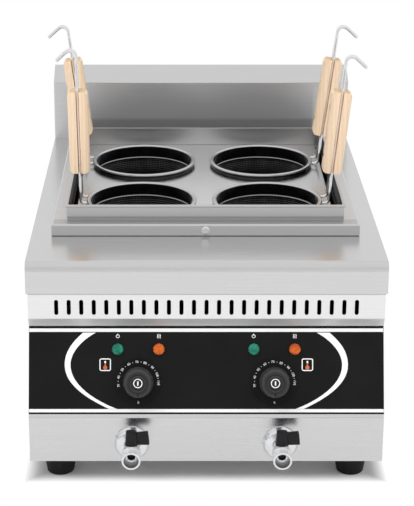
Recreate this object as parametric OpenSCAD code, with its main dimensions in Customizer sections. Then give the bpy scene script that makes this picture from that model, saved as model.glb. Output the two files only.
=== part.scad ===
// Countertop pasta cooker: two tanks under one plate, four lift-out baskets, two thermostats
// and two drain taps. Millimetres, X to the right, Y to the back, Z up from the table.
// Distances along Y are taken back from the front edge of the worktop.

/* [Worktop] */
// Width of the worktop
worktop_w = 400; // [385:1:440]
// Depth of the worktop
worktop_d = 514; // [500:1:560]
// Height of the worktop above the table
worktop_z = 262; // [250:1:290]
// Height of the turned-down lip
lip_h = 36.5; // [25:0.5:40]
// Radius of the rounded front edge
edge_r = 9; // [5:0.5:12]
// Thickness of the casing sheet
sheet = 1.2; // [0.8:0.1:1.6]
// Inner radius of the folds
fold_r = 1.8; // [1.7:0.1:3]

/* [Splashback] */
// Front of the splashback behind the worktop's front edge
splash_y = 480.5; // [470:0.5:490]
// Height of the upright front above the worktop
splash_knee = 79; // [60:1:100]
// Height of the top edge above the worktop
splash_h = 97; // [90:1:120]

/* [Front] */
// Vent band behind the worktop's front edge
vent_y = 5; // [4:0.5:8]
// Height of the lower face
lower_h = 53.6; // [51:0.1:59]
// Height of the sloped control face
panel_h = 94.8; // [92:0.1:98]
// Lean of the control face from upright
panel_lean = 21; // [15:0.5:24]
// Depth of the step under the vent band
step_in = 7.7; // [5:0.1:12]
// Height of the step under the vent band
step_h = 13.2; // [8:0.1:16]
// Number of vent slots
slots = 25; // [15:2:25]
// Pitch of the vent slots
slot_pitch = 13.9; // [11:0.1:14.5]
// Width of a vent slot
slot_w = 4.6; // [3:0.1:6]
// Height of a vent slot
slot_h = 18; // [12:0.5:20]
// Vent slots below the middle of their band
vent_drop = 2.2; // [0:0.1:3]
// Thickness of the printed fascia
fascia_t = 0.8; // [0.5:0.1:1.2]
// Bare strip of the control face below the fascia
fascia_low = 4.3; // [3:0.1:6]

/* [Well] */
// Front of the collar behind the worktop's front edge
collar_y = 86.6; // [80:0.1:92]
// Height of the collar's ledge above the worktop
collar_h = 14.2; // [10:0.1:18]
// Width of the collar's ledge
collar_ledge = 17; // [14:0.5:20]
// Outer width of the rim
rim_w = 319; // [315:1:330]
// Outer depth of the rim
rim_d = 317; // [314:1:325]
// Height of the rim above the worktop
rim_h = 31.8; // [29:0.1:40]
// Overhang of the rolled edge on the rim
hem = 2; // [1.5:0.1:3]
// Height of the rolled edge on the rim
hem_h = 2.6; // [2.4:0.1:4]
// Outer radius of the collar's folds
collar_r = 2.5; // [2:0.1:4]
// Thickness of the collar sheet
collar_t = 1.5; // [1:0.1:2]
// Gap under the collar's skirt
collar_gap = 0.8; // [0.5:0.1:1.5]
// Depth of the basket plate below the top of the rim
plate_drop = 23; // [18:0.5:24]
// Thickness of the basket plate
plate_t = 1.5; // [1:0.1:2]
// Gap beside the basket plate
plate_side = 7; // [3:0.5:8]
// Height of the tank floors above the table
tank_z = 82; // [78:1:90]

/* [Baskets] */
// Middle diameter of the basket ring
ring_d = 127; // [124:0.5:128]
// Diameter of the ring wire
ring_wire = 4; // [3:0.5:5]
// Share of the spare width that lies between the left and the right rings
basket_mid = 0.3445; // [0.25:0.0005:0.45]
// Gap between the rim and the front rings
basket_front = 4.4; // [4:0.1:8]
// Share of the spare depth that lies between the front and the rear rings
basket_part = 0.555; // [0.4:0.001:0.7]
// Depth of a basket below its ring
basket_h = 150; // [130:1:158]
// Gap between the ring and the plate
ring_lift = 3; // [2:0.1:5]
// Height of the solid band under the ring
band_h = 15.2; // [12:0.1:20]
// Radius of the cup's floor
cup_r = 50; // [44:1:54]
// Openings round the cup in one row
holes_round = 24; // [16:2:28]
// Rows of openings in the cup
hole_rows = 6; // [4:1:6]

/* [Handles] */
// Diameter of the handle wire
wire_d = 3.6; // [3:0.1:4]
// Handle foot outside the middle of the basket
handle_x = 72; // [71:0.5:75]
// Lower end of the grip along the handle
grip_low = 36; // [32:0.5:40]
// Length of the grip
grip_l = 99; // [95:1:108]
// Width of the grip, both halves together
grip_w = 24; // [22:0.5:28]
// Depth of the grip from front to back
grip_d = 19.5; // [18:0.5:24]
// Corner of the hook along the handle
hook_z = 184.5; // [181:0.5:192]
// Corner of the front left hook along its handle
hook_fl = 192; // [181:0.5:194]
// Length of the hook's arm from that corner
hook_arm = 30.5; // [26:0.5:34]
// Droop of the hook's arm
hook_droop = 43; // [25:1:46]
// Lean of the front left handle
lean_fl = 1; // [0:0.1:8]
// Lean of the front right handle
lean_fr = 5.7; // [0:0.1:8]
// Lean of the rear left handle
lean_rl = 7.5; // [0:0.1:8]
// Lean of the rear right handle
lean_rr = 7.3; // [0:0.1:8]

/* [Controls] */
// Knobs left and right of the middle
knob_x = 76; // [72:0.5:82]
// Knobs up the control face
knob_s = 40.1; // [38:0.1:42]
// Diameter of a knob
knob_d = 34.5; // [30:0.5:38]
// Height of a knob
knob_h = 19; // [17:0.5:24]
// Diameter of a dial
dial_d = 53; // [50:0.5:56]
// Lamps up the control face
lamp_s = 76.7; // [74.5:0.1:80]
// Lamps beside their knob
lamp_dx = 23; // [20:0.5:26]
// Diameter of a lamp lens
lamp_d = 13.4; // [12:0.1:15]

/* [Taps] */
// Taps left and right of the middle
tap_x = 83.2; // [78:0.1:88]
// Height of the taps above the table
tap_z = 55.5; // [54:0.5:58]
// Length of a tap in front of the lower face
tap_l = 45; // [43:0.5:54]
// Diameter of the outlet
outlet_d = 21; // [20:0.5:23]
// Bore of the tap
tap_bore = 11.5; // [10:0.5:12]
// Diameter of the escutcheon
escutcheon_d = 40; // [34:0.5:44]
// Reach of the lever from the stem
lever_l = 20; // [18:0.5:28]
// Drain behind the worktop's front edge
drain_y = 132; // [130:1:150]

/* [Feet and back] */
// Height of the feet
foot_h = 33.6; // [30:0.1:36]
// Diameter of a foot
foot_d = 41.5; // [34:0.5:44]
// Feet left and right of the middle
foot_x = 167; // [155:1:170]
// Feet in from the front and the back of the floor
foot_in = 41.5; // [36:0.5:60]
// Cable gland in from the left side of the body
gland_in = 78.4; // [60:0.1:120]
// Bore of the cable gland
gland_bore = 9; // [7:0.5:10]

/* [Hidden] */
$fn = 64;

// clearances: loose between casing sheets, small round screws, glue under the fascia, running round shafts
loose = 0.4;
small = 0.05;
glue = 0.02;
running = 0.05;

// casing
body_w = worktop_w - 2 * (sheet + loose);
top_z = worktop_z - sheet;
body_z = foot_h - sheet;
back_y = worktop_d - sheet;
knee_z = body_z + lower_h;
face_z = knee_z + panel_h;
face_y = vent_y + step_in;
knee_y = face_y - panel_h * tan(panel_lean);
panel_l = panel_h / cos(panel_lean);
front_path = [
    [vent_y, top_z], [vent_y, face_z + step_h], [face_y, face_z], [knee_y, knee_z], [knee_y, body_z]
];
top_path = [[worktop_d, worktop_z], [0, worktop_z], [0, worktop_z - lip_h]];
splash_path = [
    [worktop_d, worktop_z], [worktop_d, worktop_z + splash_h],
    [splash_y, worktop_z + splash_knee], [splash_y, worktop_z]
];
vent_z = (face_z + step_h + worktop_z - lip_h) / 2 - vent_drop;
flange = 13;
edge_in = edge_r - sheet - loose;
vent_top = worktop_z - edge_r + sqrt(pow(edge_in, 2) - pow(max(edge_r - vent_y, 0), 2));
front_folds = [0, fold_r + sheet, fold_r, fold_r + sheet, 0];
fascia_top = fold_r * tan((panel_lean + atan(step_in / step_h)) / 2) + 0.1;
splash_folds = [0, 2, 2.5, 0];

// well
rim_y = collar_y + collar_ledge;
inner_w = rim_w - 2 * collar_t;
inner_d = rim_d - 2 * collar_t;
plate_z = worktop_z + rim_h - plate_drop;
ledge_z = plate_z - plate_t;
ledge_w = 5;
tank_gap = 6;
tank_w = (inner_w - tank_gap) / 2;
tank_x = (tank_w + tank_gap) / 2;
tank_t = 1.2;
rim_deep = 6;
collar_in = 0.8;

// baskets
ring_r = ring_d / 2;
ring_out = ring_d + ring_wire;
wall = 1;
band_r = ring_r - ring_wire / 2 + wall / 3;
bead_r = 0.8;
ring_z = plate_z + ring_lift + ring_wire / 2;
hole_r = band_r + loose;
seat_w = 1.3;
seat_t = 1;
basket_dx = ring_out + basket_mid * (inner_w - 2 * ring_out);
basket_dy = ring_out + basket_part * (inner_d - 2 * ring_out - basket_front);
basket_y = rim_y + collar_t + basket_front + ring_out / 2;
slit = wire_d + 2 * small;

// handle wires: half distance at the foot and in the grip, rise of the foot, length of the narrowing
// below the hook, and half the gap between the wires of the hook
wire_wide = 12;
wire_grip = 5;
wire_rise = 13;
wire_taper = 22;
wire_gap = 0.8;
wire_past = 4;
foot_bend = 5;
pin_r = 2;
head_r = 3.2;
head_h = 0.9;

// controls
knob_z = 3;
shaft_r = 3;
bush_r = 4.8;
dial_t = 1.2;
thermo_t = 26;

// taps
ball_f = tap_l * 0.56;
ball_r = tap_bore / 2 + 2.2;
seat_f = ball_f + ball_r + 0.8;
stem_r = 3.2;
house_r = ball_r + 2.2;
bonnet_h = house_r + 0.4;
mouth_t = 2.4;
neck_r = tap_bore / 2 + 2.85;
mouth_l = 7.5;
pipe_r = tap_bore / 2 + 2.2;
elbow_r = 14;
nipple = 16;

// heating and sensing
heater_d = 8;
heater_z = tank_z + 15;
heater_x = 16;
heater_end = 14;
heater_tail = 22;
heater_nut = 8;
bulb_z = tank_z + 32;
bulb_r = 3;
bulb_l = 125;
bulb_nut = 7;
bulb_way = 34;

// the middle of the whole depth, from the tap outlets to the end of the cable gland
gland_l = 20;
gland_x = gland_in - body_w / 2;
block_in = 90;
gland_z = body_z + 50;
front_y = -(knee_y - tap_l + worktop_d + gland_l) / 2;
foot_y = [knee_y + foot_in, worktop_d - foot_in];

// Unit vector to the left of the way from a to b
function left_of(a, b) = let (d = (b - a) / norm(b - a)) [-d[1], d[0]];

// Radius of corner i, from one value or from a list
function at(r, i) = is_list(r) ? r[i] : r;

// Arc round corner i of path p, on a line that runs off to the left of the path
function bend(p, i, r, off, n) = let (
    a = (p[i - 1] - p[i]) / norm(p[i - 1] - p[i]),
    b = (p[i + 1] - p[i]) / norm(p[i + 1] - p[i]),
    half = acos(a * b) / 2,
    turn = sign(a[1] * b[0] - a[0] * b[1]),
    c = p[i] + (a + b) / norm(a + b) * r / sin(half),
    start = -turn * left_of(p[i - 1], p[i]),
    a0 = atan2(start[1], start[0]),
    sweep = turn * (180 - 2 * half)
) [for (k = [0:n]) c + (r - turn * off) * [cos(a0 + sweep * k / n), sin(a0 + sweep * k / n)]];

// A path with rounded corners, moved off to its left
function edge(p, r, off = 0, n = 6) = let (e = len(p) - 1) concat(
    [p[0] + off * left_of(p[0], p[1])],
    [for (i = [1:e - 1]) each bend(p, i, at(r, i), off, n)],
    [p[e] + off * left_of(p[e - 1], p[e])]
);

// Outline of a folded sheet whose outer face is path p
function folded(p, r, t, n = 6) = let (b = edge(p, r, t, n)) concat(
    edge(p, r, 0, n), [for (i = [len(b) - 1:-1:0]) b[i]]
);

// A path in space with rounded corners
function rounded(p, r, n) = let (e = len(p) - 1) concat(
    [p[0]], [for (i = [1:e - 1]) each arc(p[i - 1], p[i], p[i + 1], r[i], n)], [p[e]]
);

// Arc of radius r in the corner q between p and s
function arc(p, q, s, r, n) = let (
    a = (p - q) / norm(p - q),
    b = (s - q) / norm(s - q),
    half = acos(a * b) / 2,
    c = q + (a + b) / norm(a + b) * r / sin(half),
    u = (q + a * r / tan(half) - c) / r,
    v = (q + b * r / tan(half) - c) / r,
    sweep = 180 - 2 * half
) [for (k = [0:n]) c + r * (u * sin(sweep * (1 - k / n)) + v * sin(sweep * k / n)) / sin(sweep)];

// Directions along a path in space
function ways(p) = let (e = len(p) - 1) [
    for (i = [0:e]) let (d = p[min(i + 1, e)] - p[max(i - 1, 0)]) d / norm(d)
];

// A side direction carried along those directions without twist
function carried(t, s, i = 0) = let (w = s - (s * t[i]) * t[i], u = w / norm(w)) i == len(t) - 1
    ? [u]
    : concat([u], carried(t, u, i + 1));

// Unbroken round tube along a path in space
module tube(p, r, start, sides = 10) {
    t = ways(p);
    s = carried(t, start);
    n = len(p);
    rings = [
        for (i = [0:n - 1], k = [0:sides - 1])
            p[i] + r * (cos(360 * k / sides) * s[i] + sin(360 * k / sides) * cross(t[i], s[i]))
    ];
    walls = [
        for (i = [0:n - 2], k = [0:sides - 1]) let (j = (k + 1) % sides)
            [i * sides + k, (i + 1) * sides + k, (i + 1) * sides + j, i * sides + j]
    ];
    caps = [
        [for (k = [0:sides - 1]) k],
        [for (k = [sides - 1:-1:0]) (n - 1) * sides + k]
    ];
    polyhedron(rings, concat(walls, caps), convexity = 6);
}

// Everything below is drawn from the worktop's front edge
module from_front() {
    translate([0, front_y, 0])
        children();
}

// A Y-Z outline drawn out to width w, centred on X
module across(w) {
    translate([-w / 2, 0, 0])
        rotate([90, 0, 90])
            linear_extrude(w)
                children();
}

// Rectangle with round corners, centred
module plate2d(w, d, r) {
    square([w - 2 * r, d], center = true);
    square([w, d - 2 * r], center = true);
    for (x = [-1, 1], y = [-1, 1])
        translate([x * (w / 2 - r), y * (d / 2 - r)])
            circle(r);
}

// Box centred on X and Y, standing on z = 0
module block(w, d, h) {
    translate([-w / 2, -d / 2, 0])
        cube([w, d, h]);
}

// A place on the control face: z points out of the face, y up it
module on_panel(x, s) {
    translate([x, knee_y + s * sin(panel_lean), knee_z + s * cos(panel_lean)])
        rotate([90 - panel_lean, 0, 0])
            children();
}

// A place on a tap: z points forward, y up
module on_tap(s) {
    translate([s * tap_x, knee_y, tap_z])
        rotate([90, 0, 0])
            children();
}

// Middle of the rim at the height of the worktop
module on_well() {
    translate([0, rim_y + rim_d / 2, worktop_z])
        children();
}

// Middle of a basket's ring, turned so that x points outward
module on_basket(side, row) {
    translate([side * basket_dx / 2, basket_y + row * basket_dy, ring_z])
        rotate([0, 0, side < 0 ? 180 : 0])
            children();
}

// Handle direction: z runs up the leaning handle
module on_handle(lean) {
    translate([handle_x, 0, 0])
        rotate([0, lean, 0])
            children();
}

module worktop() {
    color("silver")
    from_front()
    difference() {
        union() {
            across(worktop_w)
                polygon(folded(top_path, edge_r, sheet, 12));
            for (s = [-1, 1])
                translate([s * (worktop_w - sheet) / 2, 0, 0])
                    across(sheet)
                        polygon(concat(edge(top_path, edge_r, 0, 12), [[worktop_d, worktop_z - lip_h]]));
            translate([-worktop_w / 2, back_y, worktop_z - lip_h])
                cube([worktop_w, sheet, lip_h - sheet / 2]);
            for (s = [-1, 1])
                on_well()
                    translate([0, s * (rim_d / 2 + collar_ledge - collar_t - sheet / 2), -sheet / 2])
                        block(24, sheet, collar_h - collar_t);
        }
        on_well()
            translate([0, 0, -2 * sheet])
                block(rim_w + 2 * loose, rim_d + 2 * loose, 4 * sheet);
        collar_screw_bores();
    }
}

// Bores for the screws that hold the collar to the worktop's tabs
module collar_screw_bores() {
    for (s = [-1, 1])
        on_well()
            translate([0, s * (rim_d / 2 + collar_ledge), collar_h / 2])
                rotate([90, 0, 0])
                    cylinder(h = 12, r = 2.4 + small, center = true);
}

module splashback() {
    color("silver")
    from_front() {
        across(worktop_w)
            polygon(folded(splash_path, splash_folds, sheet));
        for (s = [-1, 1])
            translate([s * (worktop_w - sheet) / 2, 0, 0])
                across(sheet)
                    polygon(edge(splash_path, splash_folds));
    }
}

module front_panel() {
    inner = body_w - 2 * (sheet + loose);
    color("gainsboro")
    from_front()
    difference() {
        union() {
            across(body_w)
                polygon(folded(front_path, front_folds, sheet));
            translate([-inner / 2, vent_y + sheet / 2, vent_top - sheet])
                cube([inner, flange, top_z - vent_top + sheet - glue]);
            translate([-inner / 2, knee_y + sheet / 2, body_z])
                cube([inner, flange, sheet]);
        }
        across(worktop_w)
            edge_room();
        for (i = [0:slots - 1])
            translate([(i - (slots - 1) / 2) * slot_pitch, vent_y + sheet / 2, vent_z])
                vent_slot();
        for (s = [-1, 1]) {
            control_bores(s, bush_r + 0.2);
            on_tap(s)
                cylinder(h = 6 * sheet, r = pipe_r + 0.3, center = true);
        }
    }
}

// Room for the worktop's rounded edge, in section
module edge_room() {
    difference() {
        translate([-1, worktop_z - edge_r])
            square([edge_r + 1 + loose, edge_r + 1]);
        translate([edge_r, worktop_z - edge_r])
            circle(edge_in);
    }
}

// Cutter for one slot with round ends
module vent_slot() {
    cube([slot_w, 4 * sheet, slot_h - slot_w], center = true);
    for (s = [-1, 1])
        translate([0, 0, s * (slot_h - slot_w) / 2])
            rotate([90, 0, 0])
                cylinder(h = 4 * sheet, d = slot_w, center = true);
}

// Bores for one knob's bush and its two lamps
module control_bores(s, r) {
    on_panel(s * knob_x, knob_s)
        cylinder(h = 8, r = r, center = true);
    for (d = [-1, 1])
        on_panel(s * knob_x + d * lamp_dx, lamp_s)
            cylinder(h = 8, r = lamp_d / 2 - 1.5, center = true);
}

module control_fascia() {
    color([0.13, 0.13, 0.14])
    from_front()
    difference() {
        on_panel(0, (fascia_low + panel_l - fascia_top) / 2)
            translate([0, 0, glue])
                block(body_w, panel_l - fascia_low - fascia_top, fascia_t - glue);
        for (s = [-1, 1])
            control_bores(s, bush_r + 0.2);
    }
}

// One side of the cabinet, with the flange that the back panel is screwed to
module side_panel(s) {
    outline = edge(front_path, front_folds, sheet);
    color("lightgray")
    from_front()
    difference() {
        union() {
            translate([s * (body_w - sheet) / 2, 0, 0])
                across(sheet)
                    polygon(concat(outline, [[back_y - sheet, body_z], [back_y - sheet, top_z]]));
            translate([s * (body_w - flange) / 2, back_y - 1.5 * sheet, body_z + 3 * sheet])
                block(flange, sheet, top_z - body_z - 6 * sheet);
        }
        across(worktop_w)
            edge_room();
        back_screw_places()
            cylinder(h = 12, r = 1.7 + small, center = true);
    }
}

module side_panel_left() {
    side_panel(-1);
}

module side_panel_right() {
    side_panel(1);
}

// Places of the back panel's screws, on its outer face with z pointing back
module back_screw_places() {
    for (s = [-1, 1], f = [0.12, 0.47, 0.8])
        translate([s * (body_w / 2 - flange / 2), back_y, body_z + f * (top_z - body_z)])
            rotate([-90, 0, 0])
                children();
}

module back_panel() {
    color("lightgray")
    from_front()
    difference() {
        translate([0, back_y - sheet / 2, body_z])
            block(body_w, sheet, top_z - body_z);
        back_screw_places()
            cylinder(h = 12, r = 1.7 + small, center = true);
        translate([gland_x, back_y, gland_z])
            rotate([90, 0, 0])
                cylinder(h = 12, r = 10 + small, center = true);
    }
}

// Screw with a round head; its shank runs down from z = 0
module pan_screw(r, head_r, head_h, l) {
    difference() {
        union() {
            cylinder(h = head_h * 0.55, r = head_r);
            translate([0, 0, head_h * 0.55])
                cylinder(h = head_h * 0.45, r1 = head_r, r2 = head_r * 0.72);
            translate([0, 0, -l])
                cylinder(h = l + head_h / 4, r = r);
        }
        for (a = [0, 90])
            rotate([0, 0, a])
                translate([-head_r * 0.55, -head_r * 0.1, head_h * 0.5])
                    cube([head_r * 1.1, head_r * 0.2, head_h]);
    }
}

module back_screws() {
    color("silver")
    from_front()
        back_screw_places()
            pan_screw(1.7, 3.6, 2.2, 8);
}

module bottom_plate() {
    color("darkgray")
    from_front()
    difference() {
        translate([-body_w / 2 + sheet, knee_y + sheet, body_z + sheet])
            cube([body_w - 2 * sheet, back_y - sheet - knee_y - sheet, sheet]);
        for (x = [-foot_x, foot_x], y = foot_y)
            translate([x, y, body_z])
                cylinder(h = 10, r = 3 + small);
    }
}

module feet() {
    r = foot_d / 2;
    side = [[0, foot_h], [r, foot_h], [r * 0.74, 0], [0, 0]];
    color([0.07, 0.07, 0.07])
    from_front()
        for (x = [-foot_x, foot_x], y = foot_y)
            translate([x, y, 0])
                difference() {
                    rotate_extrude()
                        polygon(edge(side, [0, 1.5, 2.5, 0]));
                    translate([0, 0, foot_h - 15])
                        cylinder(h = 20, r = 3 + small);
                }
}

module foot_studs() {
    color("silver")
    from_front()
        for (x = [-foot_x, foot_x], y = foot_y)
            translate([x, y, foot_h - 15 + small]) {
                cylinder(h = 25, r = 3);
                translate([0, 0, 15 + sheet])
                    cylinder(h = 5, r = 5.8, $fn = 6);
            }
}

// Rim, ledge and skirt in section, for a rim of width w
function collar_side(w) = edge([
    [0, rim_h], [w / 2 + hem, rim_h], [w / 2 + hem, rim_h - hem_h], [w / 2, rim_h - hem_h],
    [w / 2, collar_h], [w / 2 + collar_ledge, collar_h], [w / 2 + collar_ledge, collar_gap], [0, collar_gap]
], [0, hem_h / 2.2, hem_h / 2.2, hem / 4, collar_in, collar_r, 0, 0]);

// That section on both sides of the middle, drawn out to length l along Y
module collar_bar(w, l) {
    rotate([90, 0, 0])
        linear_extrude(l, center = true)
            for (s = [0, 1])
                mirror([s, 0])
                    polygon(collar_side(w));
}

// Folded collar with mitred corners, and the rim's wall that goes down to the tanks
module well_collar() {
    w = rim_w + 2 * (collar_ledge - collar_t);
    d = rim_d + 2 * (collar_ledge - collar_t);
    color([0.7, 0.7, 0.7])
    from_front()
    difference() {
        on_well()
            difference() {
                union() {
                    difference() {
                        intersection() {
                            collar_bar(rim_w, 2 * rim_d);
                            rotate([0, 0, 90])
                                collar_bar(rim_d, 2 * rim_w);
                        }
                        translate([0, 0, -collar_h - collar_t])
                            block(w, d, 2 * collar_h);
                    }
                    translate([0, 0, -rim_deep])
                        block(rim_w, rim_d, collar_h + rim_deep);
                }
                translate([0, 0, -2 * rim_h])
                    linear_extrude(4 * rim_h)
                        plate2d(inner_w, inner_d, 4 - collar_t);
            }
        collar_screw_bores();
    }
}

module collar_screws() {
    color("silver")
    from_front()
        on_well()
            for (s = [0, 180])
                rotate([0, 0, s])
                    translate([0, -rim_d / 2 - collar_ledge, collar_h / 2])
                        rotate([90, 0, 0])
                            pan_screw(2.4, 4.8, 2.6, 7);
}

// One tank: an open box with its drain, heater and sensor bores
module tank(s) {
    color([0.6, 0.6, 0.6])
    from_front()
    difference() {
        translate([s * tank_x, rim_y + rim_d / 2, tank_z])
            difference() {
                linear_extrude(ledge_z - plate_t - tank_z)
                    plate2d(tank_w, inner_d, 4 - collar_t);
                translate([0, 0, tank_t])
                    linear_extrude(ledge_z)
                        plate2d(tank_w - 2 * tank_t, inner_d - 2 * tank_t, 4 - collar_t);
            }
        translate([s * tap_x, drain_y, tank_z])
            cylinder(h = 10, r = pipe_r - 2, center = true);
        for (d = [-3, 3])
            translate([s * tank_x + d * heater_x, rim_y, heater_z])
                rotate([90, 0, 0])
                    cylinder(h = 20, r = heater_d / 2 + small, center = true);
        translate([bulb_x(s), rim_y, bulb_z])
            rotate([90, 0, 0])
                cylinder(h = 20, r = bulb_r + small, center = true);
    }
}

function bulb_x(s) = s * (inner_w / 2 - tank_t - bulb_nut);

module tank_left() {
    tank(-1);
}

module tank_right() {
    tank(1);
}

// Strips on the tanks' front and rear walls that carry the basket plate
module plate_ledges() {
    color([0.6, 0.6, 0.6])
    from_front()
        for (s = [-1, 1])
            translate([0, rim_y + rim_d / 2 + s * (inner_d - ledge_w) / 2, ledge_z - plate_t])
                block(inner_w - 6, ledge_w, plate_t);
}

module basket_plate() {
    w = inner_w - 2 * plate_side;
    color([0.68, 0.68, 0.68])
    from_front()
    difference() {
        translate([0, rim_y + rim_d / 2, plate_z - plate_t]) {
            block(w, inner_d - 2, plate_t);
            for (s = [-1, 1])
                translate([s * (w - plate_t) / 2, 0, -9])
                    block(plate_t, inner_d - 2 * ledge_w - 4, 9 + plate_t / 2);
        }
        for (side = [-1, 1], row = [0, 1])
            on_basket(side, row)
                cylinder(h = 20, r = hole_r, center = true);
    }
}

// Rolled ring, the solid band below it with the seat that rests on the plate, and the bead that the
// mesh hangs from
module basket_rim(side, row) {
    color([0.72, 0.72, 0.72])
    from_front()
        on_basket(side, row)
            rotate_extrude() {
                translate([ring_r, 0])
                    circle(d = ring_wire);
                translate([band_r - wall, -wall / 2])
                    square([ring_r - band_r + wall, wall]);
                translate([band_r - wall, -band_h])
                    square([wall, band_h]);
                translate([band_r - wall / 2, plate_z - ring_z])
                    square([wall / 2 + seat_w, seat_t]);
                translate([band_r - wall - bead_r / 2, -band_h + bead_r])
                    circle(r = bead_r);
            }
}

// Open-walled cup below the band
module basket_mesh(side, row) {
    cup = [[band_r, -band_h], [cup_r, -basket_h], [0, -basket_h]];
    rise = (basket_h - band_h - 26) / hole_rows;
    color([0.42, 0.42, 0.43])
    from_front()
        on_basket(side, row)
            difference() {
                rotate_extrude()
                    polygon(folded(cup, [0, 16, 0], -wall));
                translate([0, 0, -band_h])
                    cylinder(h = band_h, r = ring_r);
                for (j = [0:hole_rows - 1], i = [0:holes_round - 1])
                    rotate([0, 0, (i + (j % 2) / 2) * 360 / holes_round])
                        translate([cup_r - 12, -3.5, -band_h - 4 - (j + 1) * rise + 3])
                            cube([40, 7, rise - 3]);
                for (ring = [1:3], i = [1:ring * 6])
                    rotate([0, 0, i * 60 / ring])
                        translate([ring * 9.5, 0, -basket_h - 5])
                            cylinder(h = 10, d = 6);
            }
}

// Half of the handle's wire, from the ring to the tip of the hook
function wire_side(lean, hook, s) = let (
    u = [sin(lean), 0, cos(lean)],
    foot = [handle_x, 0, 0],
    tip = wire_d / 2 + wire_gap,
    edge_x = sqrt(pow(ring_out / 2, 2) - pow(wire_wide - wire_d / 2, 2)) + small,
    corner = foot + hook * u,
    end = corner + hook_arm * [cos(hook_droop), 0, -sin(hook_droop)]
) [
    [edge_x, s * wire_wide, 0], foot + [0, s * wire_wide, 0],
    foot + wire_rise * u + [0, s * wire_wide, 0],
    foot + (grip_low - wire_past) * u + [0, s * wire_grip, 0],
    foot + (grip_low + grip_l + wire_past) * u + [0, s * wire_grip, 0],
    foot + (hook - wire_taper) * u + [0, s * tip, 0], corner + [0, s * tip, 0], end + [0, s * tip, 0]
];

// Hairpin wire with a hook, bent from one length
module handle_wire(side, row, lean, hook) {
    a = wire_side(lean, hook, 1);
    b = wire_side(lean, hook, -1);
    tip = wire_d / 2 + wire_gap - 0.2;
    half = [0, foot_bend, wire_wide, wire_wide, 4 * foot_bend, 4 * foot_bend, 2 * wire_d, tip];
    radii = concat(half, [for (i = [len(half) - 1:-1:0]) half[i]]);
    path = rounded(concat(a, [for (i = [len(b) - 1:-1:0]) b[i]]), radii, 5);
    color([0.75, 0.75, 0.75])
    from_front()
        on_basket(side, row)
            tube(path, wire_d / 2, [0, 1, 0]);
}

// Two wooden halves, one on each side of the wires
module grip(side, row, lean) {
    color([0.93, 0.83, 0.7])
    from_front()
        on_basket(side, row)
            on_handle(lean)
                translate([0, 0, grip_low])
                    for (s = [-1, 1])
                        grip_half(s);
}

module grip_half(s) {
    difference() {
        intersection() {
            linear_extrude(grip_l)
                plate2d(grip_w, grip_d, 6);
            translate([0, grip_d / 2, grip_l / 2])
                rotate([90, 0, 0])
                    linear_extrude(grip_d)
                        plate2d(grip_w, grip_l, 5.5);
            translate([s * (grip_w + slit) / 2, 0, 0])
                block(grip_w, 2 * grip_d, grip_l);
        }
        for (z = [0.2, 0.8])
            translate([0, 0, z * grip_l])
                rotate([0, 90, 0]) {
                    cylinder(h = 2 * grip_w, r = pin_r + small, center = true);
                    translate([0, 0, s * grip_w / 2])
                        cylinder(h = 2 * head_h, r = head_r + small, center = true);
                }
    }
}

module grip_pins(side, row, lean) {
    color("silver")
    from_front()
        on_basket(side, row)
            on_handle(lean)
                for (z = [0.2, 0.8])
                    translate([0, 0, grip_low + z * grip_l])
                        rotate([0, 90, 0]) {
                            cylinder(h = grip_w - head_h, r = pin_r, center = true);
                            for (s = [-1, 1])
                                translate([0, 0, s * (grip_w - head_h) / 2])
                                    cylinder(h = head_h, r = head_r, center = true);
                        }
}

// Four-leg heating element in each tank, with the nuts that seal it in the front wall
module heaters() {
    near = rim_y + collar_t + tank_t + heater_end + heater_x;
    far = rim_y + rim_d - collar_t - tank_t - heater_end - heater_x;
    out = rim_y + collar_t;
    color([0.35, 0.35, 0.36])
    from_front()
        for (s = [-1, 1])
            translate([s * tank_x, 0, heater_z]) {
                for (d = [-1, 1]) {
                    heater_leg(d * heater_x, near, far);
                    heater_leg(3 * d * heater_x, out - heater_tail, far);
                    translate([2 * d * heater_x, far, 0])
                        heater_turn(0);
                    translate([3 * d * heater_x, out, 0])
                        rotate([90, 0, 0]) {
                            cylinder(h = heater_nut * 0.75, r = heater_nut, $fn = 6);
                            translate([0, 0, heater_tail - 4])
                                cylinder(h = heater_end, r = heater_d / 4.5);
                        }
                }
                translate([0, near, 0])
                    heater_turn(180);
            }
}

module heater_leg(x, y0, y1) {
    translate([x, y1, 0])
        rotate([90, 0, 0])
            cylinder(h = y1 - y0, d = heater_d);
}

module heater_turn(a) {
    rotate([0, 0, a])
        rotate_extrude(angle = 180)
            translate([heater_x, 0])
                circle(d = heater_d);
}

// Thermostat bodies behind the control face, with the bush that the shaft turns in
module thermostats() {
    color([0.85, 0.82, 0.72])
    from_front()
        for (s = [-1, 1])
            on_panel(s * knob_x, knob_s)
                difference() {
                    union() {
                        translate([0, 0, -sheet - thermo_t])
                            block(42, 40, thermo_t);
                        translate([0, 0, -sheet - 1])
                            cylinder(h = sheet + 1 + fascia_t, r = bush_r);
                    }
                    translate([0, 0, -sheet - 20])
                        cylinder(h = 40, r = shaft_r + running);
                }
}

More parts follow.
